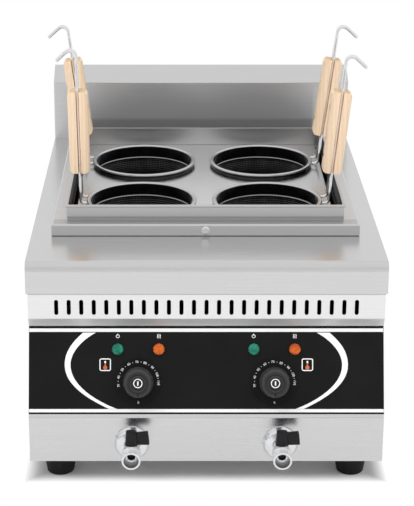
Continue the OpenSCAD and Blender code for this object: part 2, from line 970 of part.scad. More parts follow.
// Sensing bulbs in the tanks, with their capillary tubes to the thermostats
module sensors() {
    color([0.75, 0.48, 0.3])
    from_front()
        for (s = [-1, 1]) {
            x = bulb_x(s);
            y = rim_y + collar_t;
            way = rounded([
                [x, y - bulb_nut, bulb_z], [x, y - bulb_way, bulb_z],
                [s * knob_x, y - bulb_way - 2 * bulb_nut, bulb_z],
                [s * knob_x, knee_y + knob_s * sin(panel_lean) + (thermo_t + sheet + 1) * cos(panel_lean),
                    bulb_z]
            ], [0, 9, 9, 0], 6);
            translate([x, y + bulb_l - bulb_nut, bulb_z])
                rotate([90, 0, 0])
                    cylinder(h = bulb_l, r = bulb_r);
            translate([x, y, bulb_z])
                rotate([90, 0, 0])
                    cylinder(h = bulb_nut + 2, r = bulb_nut, $fn = 6);
            tube(way, 1, [0, 0, 1], 8);
        }
}

module dial_plates() {
    color([0.05, 0.05, 0.05])
    from_front()
        for (s = [-1, 1])
            on_panel(s * knob_x, knob_s)
                translate([0, 0, fascia_t])
                    difference() {
                        cylinder(h = dial_t, d = dial_d);
                        cylinder(h = 4, r = bush_r + 0.2, center = true);
                    }
}

// Knob with a ringed face, six finger hollows and a pointer groove
module knob(s) {
    r = knob_d / 2;
    side = [[0, knob_h], [r * 0.86, knob_h], [r * 0.95, knob_h - 5], [r, 0], [0, 0]];
    color([0.2, 0.2, 0.21])
    from_front()
        on_panel(s * knob_x, knob_s)
            translate([0, 0, knob_z])
                difference() {
                    rotate_extrude()
                        polygon(edge(side, [0, 1.5, 4, 1, 0]));
                    translate([0, 0, knob_h - 1])
                        difference() {
                            cylinder(h = 4, r = r * 0.52);
                            cylinder(h = 4, r = r * 0.45);
                        }
                    for (i = [0:5])
                        rotate([0, 0, i * 60 + 30])
                            translate([r + 12.4, 0, 4])
                                cylinder(h = knob_h, r = 13);
                    translate([-0.8, -r - 1, knob_h - 2.2])
                        cube([1.6, r * 0.45, 4]);
                    translate([0, 0, -1])
                        cylinder(h = 13, r = shaft_r + small);
                }
}

module knob_left() {
    knob(-1);
}

module knob_right() {
    knob(1);
}

module shaft(s) {
    color("silver")
    from_front()
        on_panel(s * knob_x, knob_s)
            translate([0, 0, -sheet - 19])
                cylinder(h = sheet + 19 + knob_z + 11.5, r = shaft_r);
}

module shaft_left() {
    shaft(-1);
}

module shaft_right() {
    shaft(1);
}

// Domed lens on its holder
module lamp(x) {
    r = lamp_d / 2;
    on_panel(x, lamp_s)
        translate([0, 0, fascia_t + 1])
            rotate_extrude()
                polygon(edge([[0, 4.6], [r * 0.55, 4.6], [r, 1.6], [r, 0], [0, 0]], [0, 4, 2, 0.4, 0]));
}

module power_lamps() {
    color([0.05, 0.5, 0.4])
    from_front() {
        lamp(-knob_x - lamp_dx);
        lamp(knob_x - lamp_dx);
    }
}

module heat_lamps() {
    color([0.88, 0.42, 0.1])
    from_front() {
        lamp(-knob_x + lamp_dx);
        lamp(knob_x + lamp_dx);
    }
}

module lamp_holders() {
    color([0.1, 0.1, 0.1])
    from_front()
        for (s = [-1, 1], d = [-1, 1])
            on_panel(s * knob_x + d * lamp_dx, lamp_s) {
                translate([0, 0, -28])
                    cylinder(h = 28 + fascia_t + 0.5, r = lamp_d / 2 - 1.8);
                translate([0, 0, fascia_t])
                    cylinder(h = 1, r = lamp_d / 2);
                translate([0, 0, -sheet - 4])
                    cylinder(h = 4, r = lamp_d / 2 + 1, $fn = 6);
            }
}

module tap_escutcheons() {
    r = escutcheon_d / 2;
    b = neck_r + 0.4;
    bell = [[r, 0], [r, 1.5], [r - 3, 6.5], [b + 1.5, 8.5], [b, 8.5]];
    color("silver")
    from_front()
        for (s = [-1, 1])
            on_tap(s)
                rotate_extrude()
                    polygon(concat(edge(bell, [0, 0.8, 4, 1, 0]), [[b, 0]]));
}

// Valve body: a threaded tail through the panel, the ball housing, the outlet and the bonnet
module tap_body(s) {
    r = outlet_d / 2;
    n = neck_r;
    h = house_r;
    side = [
        [n, 0], [n, ball_f - h], [h, ball_f - h * 0.55], [h, ball_f + h * 0.55],
        [n, ball_f + h * 0.9], [n, tap_l - mouth_l - 1.8], [r, tap_l - mouth_l - 0.5], [r, tap_l], [0, tap_l]
    ];
    color("silver")
    from_front()
        on_tap(s)
            difference() {
                union() {
                    rotate_extrude()
                        polygon(concat(edge(side, [0, 1, 3, 3, 1, 0.8, 0.8, 0.5, 0], 0, 4), [[0, 0]]));
                    translate([0, 0, -nipple])
                        cylinder(h = nipple + 1, r = pipe_r);
                    translate([0, 0, -sheet - 5])
                        cylinder(h = 5, r = pipe_r + 5, $fn = 6);
                    translate([0, 0, ball_f])
                        rotate([-90, 0, 0])
                            cylinder(h = bonnet_h, r = 6.3);
                }
                translate([0, 0, -nipple - 1])
                    cylinder(h = ball_f + nipple + 1, d = tap_bore);
                translate([0, 0, seat_f])
                    cylinder(h = tap_l, d = tap_bore);
                translate([0, 0, tap_l - mouth_l])
                    cylinder(h = tap_l, r = outlet_d / 2 - mouth_t);
                translate([0, 0, ball_f]) {
                    cylinder(h = ball_r + 1, d = tap_bore - 2.5);
                    sphere(ball_r + 0.3);
                    rotate([-90, 0, 0])
                        cylinder(h = bonnet_h + 1, r = stem_r + running);
                }
            }
}

module tap_body_left() {
    tap_body(-1);
}

module tap_body_right() {
    tap_body(1);
}

// Ball with its bore along the lever, and the stem up to the lever
module valve_ball(s) {
    half = [for (a = [-80:10:60]) ball_r * [cos(a), sin(a)]];
    color("silver")
    from_front()
        translate([s * tap_x, knee_y - ball_f, tap_z])
            difference() {
                rotate_extrude()
                    polygon(concat(
                        [[0, half[0][1]]], half,
                        [[stem_r, half[len(half) - 1][1]], [stem_r, bonnet_h + 9], [0, bonnet_h + 9]]
                    ));
                rotate([0, 90, 0])
                    cylinder(h = 3 * ball_r, d = tap_bore - 1, center = true);
            }
}

module valve_ball_left() {
    valve_ball(-1);
}

module valve_ball_right() {
    valve_ball(1);
}

// Lever: a hub on the stem and a flag that points along the ball's bore
module tap_lever(s) {
    flag = [[0, 0.4], [lever_l, 0.8], [lever_l - 1.4, 15], [0, 13]];
    color([0.09, 0.09, 0.1])
    from_front()
        translate([s * tap_x, knee_y - ball_f, tap_z + bonnet_h + 0.4])
            difference() {
                union() {
                    hull() {
                        linear_extrude(1)
                            plate2d(14, 13, 4);
                        translate([0, 0, 14])
                            linear_extrude(1)
                                plate2d(12, 11, 4);
                    }
                    rotate([90, 0, 0])
                        translate([0, 0, -3])
                            linear_extrude(6)
                                polygon(edge(flag, [0, 1.2, 1.2, 0]));
                }
                translate([0, 0, -1])
                    cylinder(h = 9.7, r = stem_r + small);
            }
}

module tap_lever_left() {
    tap_lever(-1);
}

module tap_lever_right() {
    tap_lever(1);
}

// Pipe from under each tank to the tail of its tap
module drain_pipes() {
    color([0.7, 0.7, 0.7])
    from_front()
        for (s = [-1, 1])
            translate([s * tap_x, drain_y, tap_z])
                difference() {
                    union() {
                        drain_way(pipe_r, 0);
                        translate([0, 0, tank_z - tap_z - 3])
                            cylinder(h = 3, r = pipe_r + 6);
                    }
                    drain_way(pipe_r - 2, 1);
                }
}

module drain_way(r, more) {
    tail = drain_y - elbow_r - knee_y - nipple;
    translate([0, 0, elbow_r])
        cylinder(h = tank_z - tap_z - elbow_r + more, r = r);
    translate([0, -elbow_r, elbow_r])
        rotate([90, 0, 90])
            rotate([0, 0, -90])
                rotate_extrude(angle = 90)
                    translate([elbow_r, 0])
                        circle(r);
    translate([0, -elbow_r, 0])
        rotate([90, 0, 0])
            cylinder(h = tail + more, r = r);
}

module cable_gland() {
    color([0.08, 0.08, 0.08])
    from_front()
        translate([gland_x, back_y, gland_z])
            rotate([-90, 0, 0])
                difference() {
                    union() {
                        translate([0, 0, -sheet - 10])
                            cylinder(h = sheet + 10, r = 10);
                        translate([0, 0, -sheet - 5])
                            cylinder(h = 5, r = 14, $fn = 6);
                        cylinder(h = 6, r = 14, $fn = 6);
                        cylinder(h = gland_l - 6, r = 11.5);
                        translate([0, 0, gland_l - 6])
                            cylinder(h = 6 + sheet, r1 = 11.5, r2 = 7.5);
                    }
                    cylinder(h = 100, d = gland_bore, center = true);
                }
}

module terminal_block() {
    color([0.9, 0.9, 0.86])
    from_front()
        translate([gland_x + gland_bore, back_y - block_in, body_z + 2 * sheet])
            difference() {
                block(62, 24, 22);
                for (i = [-2:2])
                    translate([i * 11.5, 0, 11]) {
                        cylinder(h = 20, d = 5);
                        rotate([90, 0, 0])
                            cylinder(h = 40, d = 5, center = true);
                    }
            }
}

module fl_basket_rim() { basket_rim(-1, 0); }
module fl_basket_mesh() { basket_mesh(-1, 0); }
module fl_handle_wire() { handle_wire(-1, 0, lean_fl, hook_fl); }
module fl_grip() { grip(-1, 0, lean_fl); }
module fl_grip_pins() { grip_pins(-1, 0, lean_fl); }
module fr_basket_rim() { basket_rim(1, 0); }
module fr_basket_mesh() { basket_mesh(1, 0); }
module fr_handle_wire() { handle_wire(1, 0, lean_fr, hook_z); }
module fr_grip() { grip(1, 0, lean_fr); }
module fr_grip_pins() { grip_pins(1, 0, lean_fr); }
module rl_basket_rim() { basket_rim(-1, 1); }
module rl_basket_mesh() { basket_mesh(-1, 1); }
module rl_handle_wire() { handle_wire(-1, 1, lean_rl, hook_z); }
module rl_grip() { grip(-1, 1, lean_rl); }
module rl_grip_pins() { grip_pins(-1, 1, lean_rl); }
module rr_basket_rim() { basket_rim(1, 1); }
module rr_basket_mesh() { basket_mesh(1, 1); }
module rr_handle_wire() { handle_wire(1, 1, lean_rr, hook_z); }
module rr_grip() { grip(1, 1, lean_rr); }
module rr_grip_pins() { grip_pins(1, 1, lean_rr); }

worktop();
splashback();
front_panel();
control_fascia();
side_panel_left();
side_panel_right();
back_panel();
bottom_plate();
feet();
foot_studs();
back_screws();
well_collar();
collar_screws();
tank_left();
tank_right();
plate_ledges();
basket_plate();
fl_basket_rim();
fl_basket_mesh();
fl_handle_wire();
fl_grip();
fl_grip_pins();
fr_basket_rim();
fr_basket_mesh();
fr_handle_wire();
fr_grip();
fr_grip_pins();
rl_basket_rim();
rl_basket_mesh();
rl_handle_wire();
rl_grip();
rl_grip_pins();
rr_basket_rim();
rr_basket_mesh();
rr_handle_wire();
rr_grip();
rr_grip_pins();
heaters();
thermostats();
sensors();
dial_plates();
knob_left();
knob_right();
shaft_left();
shaft_right();
power_lamps();
heat_lamps();
lamp_holders();
tap_escutcheons();
tap_body_left();
tap_body_right();
tap_lever_left();
tap_lever_right();
valve_ball_left();
valve_ball_right();
drain_pipes();
cable_gland();
terminal_block();
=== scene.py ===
import math

import bmesh
import bpy
from mathutils import Matrix, Vector


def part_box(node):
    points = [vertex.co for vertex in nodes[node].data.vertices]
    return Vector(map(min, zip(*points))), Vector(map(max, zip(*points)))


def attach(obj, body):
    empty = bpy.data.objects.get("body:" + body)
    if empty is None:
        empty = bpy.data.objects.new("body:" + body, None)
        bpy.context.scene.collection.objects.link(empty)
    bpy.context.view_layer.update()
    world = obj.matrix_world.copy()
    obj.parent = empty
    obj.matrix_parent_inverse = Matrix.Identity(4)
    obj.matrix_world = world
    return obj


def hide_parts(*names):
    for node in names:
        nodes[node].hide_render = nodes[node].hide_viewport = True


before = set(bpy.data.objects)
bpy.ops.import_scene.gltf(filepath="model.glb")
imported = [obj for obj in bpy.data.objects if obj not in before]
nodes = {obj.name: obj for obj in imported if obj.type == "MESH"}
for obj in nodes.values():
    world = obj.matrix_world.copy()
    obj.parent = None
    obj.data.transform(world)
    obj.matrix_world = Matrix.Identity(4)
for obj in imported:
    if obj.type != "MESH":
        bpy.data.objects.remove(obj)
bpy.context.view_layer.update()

scene = bpy.context.scene
scene.view_settings.view_transform = "Standard"
mm = 0.001
print("frame loaded:", len(nodes), "nodes")


photoView = dict(
    width=414, height=506,           # pixels
    focal=1629, middle=(176.6, 203), # pixels
    place=(-0.0332, -1.90035, 0.9017), tilt=71.13,
)


def addCamera(view):
    data = bpy.data.cameras.new("photoCamera")
    data.sensor_fit = "VERTICAL"
    data.sensor_height = 36
    data.lens = view["focal"] * 36 / view["height"]
    data.shift_x = (view["width"] / 2 - view["middle"][0]) / view["height"]
    data.shift_y = (view["middle"][1] - view["height"] / 2) / view["height"]
    camera = bpy.data.objects.new("photoCamera", data)
    camera.location = view["place"]
    camera.rotation_euler = (math.radians(view["tilt"]), 0, 0)
    scene.collection.objects.link(camera)
    scene.camera = camera


class Sock:  # a shader socket that takes part in sums
    def __init__(self, tree, out=None):
        self.tree, self.out = tree, out

    def node(self, kind, settings=None, inputs=None, pick=0):
        made = self.tree.nodes.new("ShaderNode" + kind)
        for name, value in (settings or {}).items():
            if name == "stops":
                ramp = made.color_ramp
                while len(ramp.elements) < len(value):
                    ramp.elements.new(1)
                for stop, (place, shade) in zip(ramp.elements, value):
                    stop.position = place
                    stop.color = (*shade, 1)
            else:
                setattr(made, name, value)
        for name, value in (inputs or {}).items():
            if isinstance(value, Sock):
                self.tree.links.new(value.out, made.inputs[name])
            else:
                made.inputs[name].default_value = value
        return Sock(self.tree, made.outputs[pick])

    def math(self, operation, a, b):
        return self.node("Math", {"operation": operation}, {0: a, 1: b})

    def __add__(self, other):
        return self.math("ADD", self, other)

    def __radd__(self, other):
        return self.math("ADD", other, self)

    def __sub__(self, other):
        return self.math("SUBTRACT", self, other)

    def __rsub__(self, other):
        return self.math("SUBTRACT", other, self)

    def __mul__(self, other):
        return self.math("MULTIPLY", self, other)

    def __rmul__(self, other):
        return self.math("MULTIPLY", other, self)

    def over(self, other):  # the larger of two
        return self.math("MAXIMUM", self, other)


studio = dict(
    sky=0.60, mirrored=0.88,  # light on the object, and the white that steel shows
    dimFront=0.85, frontSpan=(0.10, 0.45), highSpan=(0.07, 0.20),  # the room behind the camera, low down
    lamps=[  # place, aim, size and power
        ((-0.9, -1.2, 2.2), (0, 0, 0.2), 1.6, 31),
        ((1.6, -1.2, 1.9), (0, 0, 0.2), 1.4, 18),
    ],
    # the floor is painted darker along the object's two sides as a painted shadow
    floorSize=14, floorShade=0.80, floorGlow=0.03, sideShadowPaint=0.40, sideShadowSpan=(-0.035, -0.015),
    shadowBox=(0.2073, 0.260, 0.0142),  # half width, half depth, middle
    shadowFade=(-0.024, 0), mirrorFade=(0.12, 0.60),
)


def addWorld(look):  # white all round, dimmer behind the camera
    world = bpy.data.worlds.new("studio")
    world.use_nodes = True
    tree = world.node_tree
    start = Sock(tree)
    toCamera = start.node("LightPath", pick="Is Camera Ray")
    rays = toCamera.out.node
    mirror = Sock(tree, rays.outputs["Is Glossy Ray"]).over(Sock(tree, rays.outputs["Is Transmission Ray"]))
    away = start.node("SeparateXYZ", None, {0: start.node("TexCoord", pick="Generated")}, pick=1)
    up = Sock(tree, away.out.node.outputs[2])
    front = spread(start, 0 - away, *look["frontSpan"]) * (1 - spread(start, up, *look["highSpan"]))
    level = (look["sky"] + mirror * (look["mirrored"] - look["sky"])) * (1 - front * look["dimFront"])
    level = toCamera + level * (1 - toCamera)
    back = tree.nodes["Background"]
    back.inputs["Color"].default_value = (1, 1, 1, 1)
    tree.links.new(level.out, back.inputs["Strength"])
    scene.world = world


def addLamps(look):
    for i, (place, aim, size, power) in enumerate(look["lamps"]):
        data = bpy.data.lights.new(f"softbox{i}", "AREA")
        data.size = size
        data.energy = power
        lamp = bpy.data.objects.new(f"softbox{i}", data)
        lamp.location = place
        lamp.visible_glossy = False
        lamp.rotation_euler = (Vector(aim) - Vector(place)).to_track_quat("-Z", "Y").to_euler()
        scene.collection.objects.link(lamp)


def addFloor(look):
    bm = bmesh.new()
    bmesh.ops.create_grid(bm, x_segments=1, y_segments=1, size=look["floorSize"] / 2)
    mesh = bpy.data.meshes.new("floor")
    bm.to_mesh(mesh)
    bm.free()
    floor = bpy.data.objects.new("floor", mesh)
    scene.collection.objects.link(floor)
    finish, shader, start = newFinish("paleFloor", {"Roughness": 0.9, "Specular IOR Level": 0.1})
    tree = start.tree
    shader.inputs["Emission Color"].default_value = (1, 1, 1, 1)
    shader.inputs["Emission Strength"].default_value = look["floorGlow"]
    spot = start.node("SeparateXYZ", None, {0: places(start)})
    halfWide, halfDeep, middleY = look["shadowBox"]
    side = start.math("ABSOLUTE", spot, 0) - halfWide
    ahead = start.math("ABSOLUTE", Sock(tree, spot.out.node.outputs[1]) - middleY, 0) - halfDeep
    far = side.over(ahead)
    path = start.node("LightPath", pick="Is Camera Ray")
    mirror = Sock(tree, path.out.node.outputs["Is Glossy Ray"])
    edge = spread(start, far, *look["shadowFade"])
    # painted shadow: camera rays see the floor darker along the object's two sides
    sides = path * spread(start, side, *look["sideShadowSpan"])
    feed(shader, "Base Color", look["floorShade"] - sides * look["sideShadowPaint"])
    clear = path * edge * edge + mirror * spread(start, far, *look["mirrorFade"])
    white = start.node("Emission", None, {"Color": (1, 1, 1, 1), "Strength": 1})
    mixed = start.node("MixShader", None, {0: clear, 1: Sock(tree, shader.outputs[0]), 2: white})
    tree.links.new(mixed.out, tree.nodes["Material Output"].inputs["Surface"])
    mesh.materials.append(finish)


def middle(node):
    low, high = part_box(node)
    return (low + high) / 2


def newFinish(name, fixed):
    finish = bpy.data.materials.new(name)
    finish.use_nodes = True
    tree = finish.node_tree
    shader = tree.nodes["Principled BSDF"]
    for socket, value in fixed.items():
        shader.inputs[socket].default_value = value
    return finish, shader, Sock(tree)


def feed(shader, socket, value):
    value.tree.links.new(value.out, shader.inputs[socket])


def places(start, scale=(1, 1, 1), turn=(0, 0, 0)):
    spot = start.node("TexCoord", pick="Object")
    return start.node("Mapping", None, {
        "Vector": spot, "Scale": scale, "Rotation": [math.radians(a) for a in turn]})


def cloud(start, where, scale, detail=3, rough=0.5):
    return start.node("TexNoise", None, {
        "Vector": where, "Scale": scale, "Detail": detail, "Roughness": rough})


def spread(start, value, low, high):  # a value stretched from low..high to 0..1
    return start.node("MapRange", None, {"Value": value, "From Min": low, "From Max": high})


def past(start, value, edge, soft=0.0003):  # 0 below the edge, 1 above it
    return spread(start, value, edge, edge + soft)


def within(start, value, low, high, soft=0.0003):  # 1 from low to high, soft at the edges
    return spread(start, value, low - soft, low) * (1 - spread(start, value, high, high + soft))


def mottled(start, scale, detail=4):  # blotches from 0 to 1
    return spread(start, cloud(start, places(start), scale, detail, 0.6), 0.3, 0.7)


def brushed(start, grain):  # brushing lines from 0 to 1
    return spread(start, cloud(start, places(start, grain), 1, 3, 0.6), 0.28, 0.72)


def spotAxes(start, turn=(0, 0, 0)):  # the three places along the axes
    spot = start.node("SeparateXYZ", None, {0: places(start, turn=turn)})
    return [Sock(start.tree, out) for out in spot.out.node.outputs]


def folded(start, value, centre, half):  # the distance from the nearer of two middles
    return start.math("ABSOLUTE", value - centre, 0) - half


def reach(start, a, b):  # the distance from an axis
    return start.math("SQRT", a * a + b * b, 0)


def blendColour(start, factor, a, b):
    return start.node("Mix", {"data_type": "RGBA"}, {
        0: factor, 6: a if isinstance(a, Sock) else (*a, 1),
        7: b if isinstance(b, Sock) else (*b, 1)}, pick=2)


def raised(start, height, strength, distance):
    return start.node("Bump", None, {
        "Height": height, "Strength": strength, "Distance": distance})


def zoned(start, look, tone, rough):  # zones: low, high, soft edge, shade, added roughness, half width
    across, _, height = spotAxes(start)
    shade = 1
    for low, high, soft, level, blur, *half in look.get("zones", ()):
        inside = within(start, height, low, high, soft)
        for wide in half:
            inside = inside * (1 - past(start, folded(start, across, 0, wide), -0.002, 0.004))
        shade = shade + inside * (level - 1)
        rough = rough + inside * blur
    if look.get("zones"):
        tone = start.node("VectorMath", {"operation": "SCALE"}, {0: tone, "Scale": shade})
    return tone, rough


def steelFinish(name, look):
    finish, shader, start = newFinish(name, {"Metallic": 1})
    lines = brushed(start, look["grain"])
    smudge = mottled(start, look["smudge"])
    tone = blendColour(start, lines, look["dark"], look["light"])
    rough = look["rough"] + lines * look["lineRough"] + smudge * look["smudgeRough"]
    tone, rough = zoned(start, look, tone, rough)
    feed(shader, "Base Color", tone)
    feed(shader, "Roughness", rough)
    feed(shader, "Normal", raised(start, lines, look["depth"], 0.0002))
    return finish


def metalFinish(name, look):
    finish, shader, start = newFinish(name, {"Metallic": 1})
    mottle = mottled(start, look["scale"], 5)
    fine = cloud(start, places(start), look["scale"] * 9, 3, 0.6)
    tone = blendColour(start, mottle, look["dark"], look["light"])
    tone, rough = zoned(start, look, tone, look["rough"] + mottle * look["vary"])
    feed(shader, "Base Color", tone)
    feed(shader, "Roughness", rough)
    feed(shader, "Normal", raised(start, fine, look["depth"], 0.0002))
    return finish


def collarFinish(name, look):  # side walls inside are painted dark and streaked, as shade and the dark reflection of the well
    finish, shader, start = newFinish(name, {"Metallic": 1})
    lines = brushed(start, look["grain"])
    streaks = spread(start, cloud(start, places(start, look["streaks"]), 1, 3, 0.6), 0.45, 0.70)
    across, along, height = spotAxes(start)
    # painted shade on the inner side walls
    wall = within(start, folded(start, across, 0, 0), *look["wall"]) * within(start, along, *look["inside"])
    wall = wall * (1 - past(start, height, look["top"] - look["hem"]))
    tone = blendColour(start, lines, look["dark"], look["light"])
    tone, rough = zoned(start, look, tone, look["rough"] + lines * look["lineRough"])
    # painted shadow along the foot of the front face, where it meets the worktop
    foot = within(start, height - look["top"], *look["foot"]) * (1 - spread(start, along, *look["front"]))
    tone = blendColour(start, foot * look["footShade"], tone, (0, 0, 0))
    wallShadeDark = blendColour(start, streaks, look["wallShadeDark"], look["wallShadeStreak"])
    feed(shader, "Base Color", blendColour(start, wall, tone, wallShadeDark))
    feed(shader, "Roughness", rough + wall * look["wallRough"])
    feed(shader, "Normal", raised(start, lines, look["depth"], 0.0002))
    return finish


def ringFinish(name, look):  # ring painted bright on top as a highlight and black below as shade, band painted dark as its dark reflection, grey bead
    finish, shader, start = newFinish(name, {"Metallic": 1})
    across, along, height = spotAxes(start)
    height = height - look["level"]
    left, right = middle("fl_basket_rim"), middle("rr_basket_rim")
    half = (right - left) / 2
    far = reach(start, folded(start, across, 0, half.x), folded(start, along, left.y + half.y, half.y))
    outside = past(start, far, look["wall"], 0.0002)
    ring = past(start, height, -look["ringDown"])
    foot = outside * (1 - past(start, height, -look["footDown"], 0.0002))
    bead = (1 - outside) * (1 - past(start, height, -look["beadDown"]))
    mottle = mottled(start, look["scale"])
    tone = blendColour(start, mottle, look["dark"], look["light"])
    # painted shade: black on the wall below the ring
    tone = blendColour(start, outside, tone, look["under"])
    tone = blendColour(start, bead, tone, look["bead"])
    tone = blendColour(start, foot, tone, look["foot"])
    # painted highlight on the ring's top
    feed(shader, "Base Color", blendColour(start, ring, tone, look["bright"]))
    dull = (ring + bead + foot) * look["ringRough"]
    feed(shader, "Roughness", look["rough"] + mottle * look["vary"] + dull)
    feed(shader, "Normal", raised(start, mottle, look["depth"], 0.0002))
    return finish


def tapFinish(name, look):  # chrome, painted darker inside the mouths as shade and dull there, satin on the necks
    finish, shader, start = newFinish(name, {})
    across, along, height = spotAxes(start)
    low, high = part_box("tap_body_left")
    height = height - (low.z + high.z) / 2
    bore = reach(start, folded(start, across, 0, look["x"]), height)
    back = along - low.y
    outside = past(start, bore, look["bore"])
    mouth = (1 - outside) * (1 - past(start, back, look["deep"]))
    neck = outside * within(start, back, *look["neck"]) * spread(start, height, *look["neckUp"])
    mottle = mottled(start, look["scale"], 5)
    tone = blendColour(start, mottle, look["dark"], look["light"])
    feed(shader, "Metallic", 1 - neck * look["satin"])
    feed(shader, "Base Color", blendColour(start, mouth, tone, look["inner"]))
    feed(shader, "Roughness", look["rough"] + mottle * look["vary"] + mouth * look["innerRough"])
    feed(shader, "Normal", raised(start, mottle, look["depth"], 0.0002))
    return finish


def knobFinish(name, look):  # painted sheen: paler round the edge and in the ring on the face, standing in for reflected light
    finish, shader, start = newFinish(name, {"Specular IOR Level": look["gloss"]})
    across, up, _ = spotAxes(start, turn=(look["lean"] - 90, 0, 0))
    axis = Matrix.Rotation(math.radians(look["lean"] - 90), 3, "X") @ middle("knob_left")
    far = reach(start, folded(start, across, 0, look["x"]), up - axis.y)
    mottle = mottled(start, look["scale"])
    skin = cloud(start, places(start), look["skin"], 3, 0.7)
    # painted sheen on the edge and the face ring
    paintedSheen = within(start, far, *look["ring"]) * look["ringShare"] + spread(start, far, *look["edge"])
    tone = blendColour(start, mottle, look["dark"], look["light"])
    feed(shader, "Base Color", blendColour(start, paintedSheen, tone, look["paintedSheen"]))
    feed(shader, "Roughness", look["rough"] + mottle * look["vary"])
    feed(shader, "Normal", raised(start, skin, look["depth"], 0.0003))
    return finish


def mouldedFinish(name, look):
    finish, shader, start = newFinish(name, {"Specular IOR Level": look["gloss"]})
    mottle = mottled(start, look["scale"])
    skin = cloud(start, places(start), look["skin"], 3, 0.7)
    feed(shader, "Base Color", blendColour(start, mottle, look["dark"], look["light"]))
    feed(shader, "Roughness", look["rough"] + mottle * look["vary"])
    feed(shader, "Normal", raised(start, skin, look["depth"], 0.0003))
    return finish


def woodFinish(name, look):
    finish, shader, start = newFinish(name, {"Specular IOR Level": 0.35})
    wander = cloud(start, places(start, look["wander"]), 1, 3)
    rings = start.node("TexWave", {"bands_direction": "X"}, {
        "Vector": places(start, look["run"]), "Scale": look["rings"], "Distortion": 5,
        "Detail": 3, "Detail Scale": 1.5})
    pores = spread(start, cloud(start, places(start, look["pores"]), 1, 3, 0.6), 0.55, 0.75)
    grain = rings * 0.45 + wander * 0.55
    tone = start.node("ValToRGB", {"stops": look["stops"]}, {"Fac": grain})
    tone = blendColour(start, pores * look["poreShare"], tone, look["pore"])
    facing = start.node("SeparateXYZ", None, {0: start.node("TexCoord", pick="Normal")}, pick=2)
    ends = spread(start, start.math("ABSOLUTE", facing, 0), *look["endSpan"])
    feed(shader, "Base Color", blendColour(start, ends * look["endShare"], tone, look["end"]))
    feed(shader, "Roughness", look["rough"] + grain * look["vary"])
    feed(shader, "Normal", raised(start, grain * 0.6 - pores, look["depth"], 0.0004))
    return finish


def lensFinish(name, look):
    # a faint painted glow that holds the lens colour
    finish, shader, start = newFinish(name, {
        "Roughness": 0.12, "IOR": 1.49, "Transmission Weight": look["clear"],
        "Emission Strength": look["paintedGlow"]})
    ribs = spread(start, cloud(start, places(start), look["ribs"], 2), 0.35, 0.65)
    tone = blendColour(start, ribs, look["dark"], look["light"])
    feed(shader, "Base Color", tone)
    feed(shader, "Emission Color", tone)
    return finish


addCamera(photoView)
addWorld(studio)
addLamps(studio)
addFloor(studio)
print("studio ready")

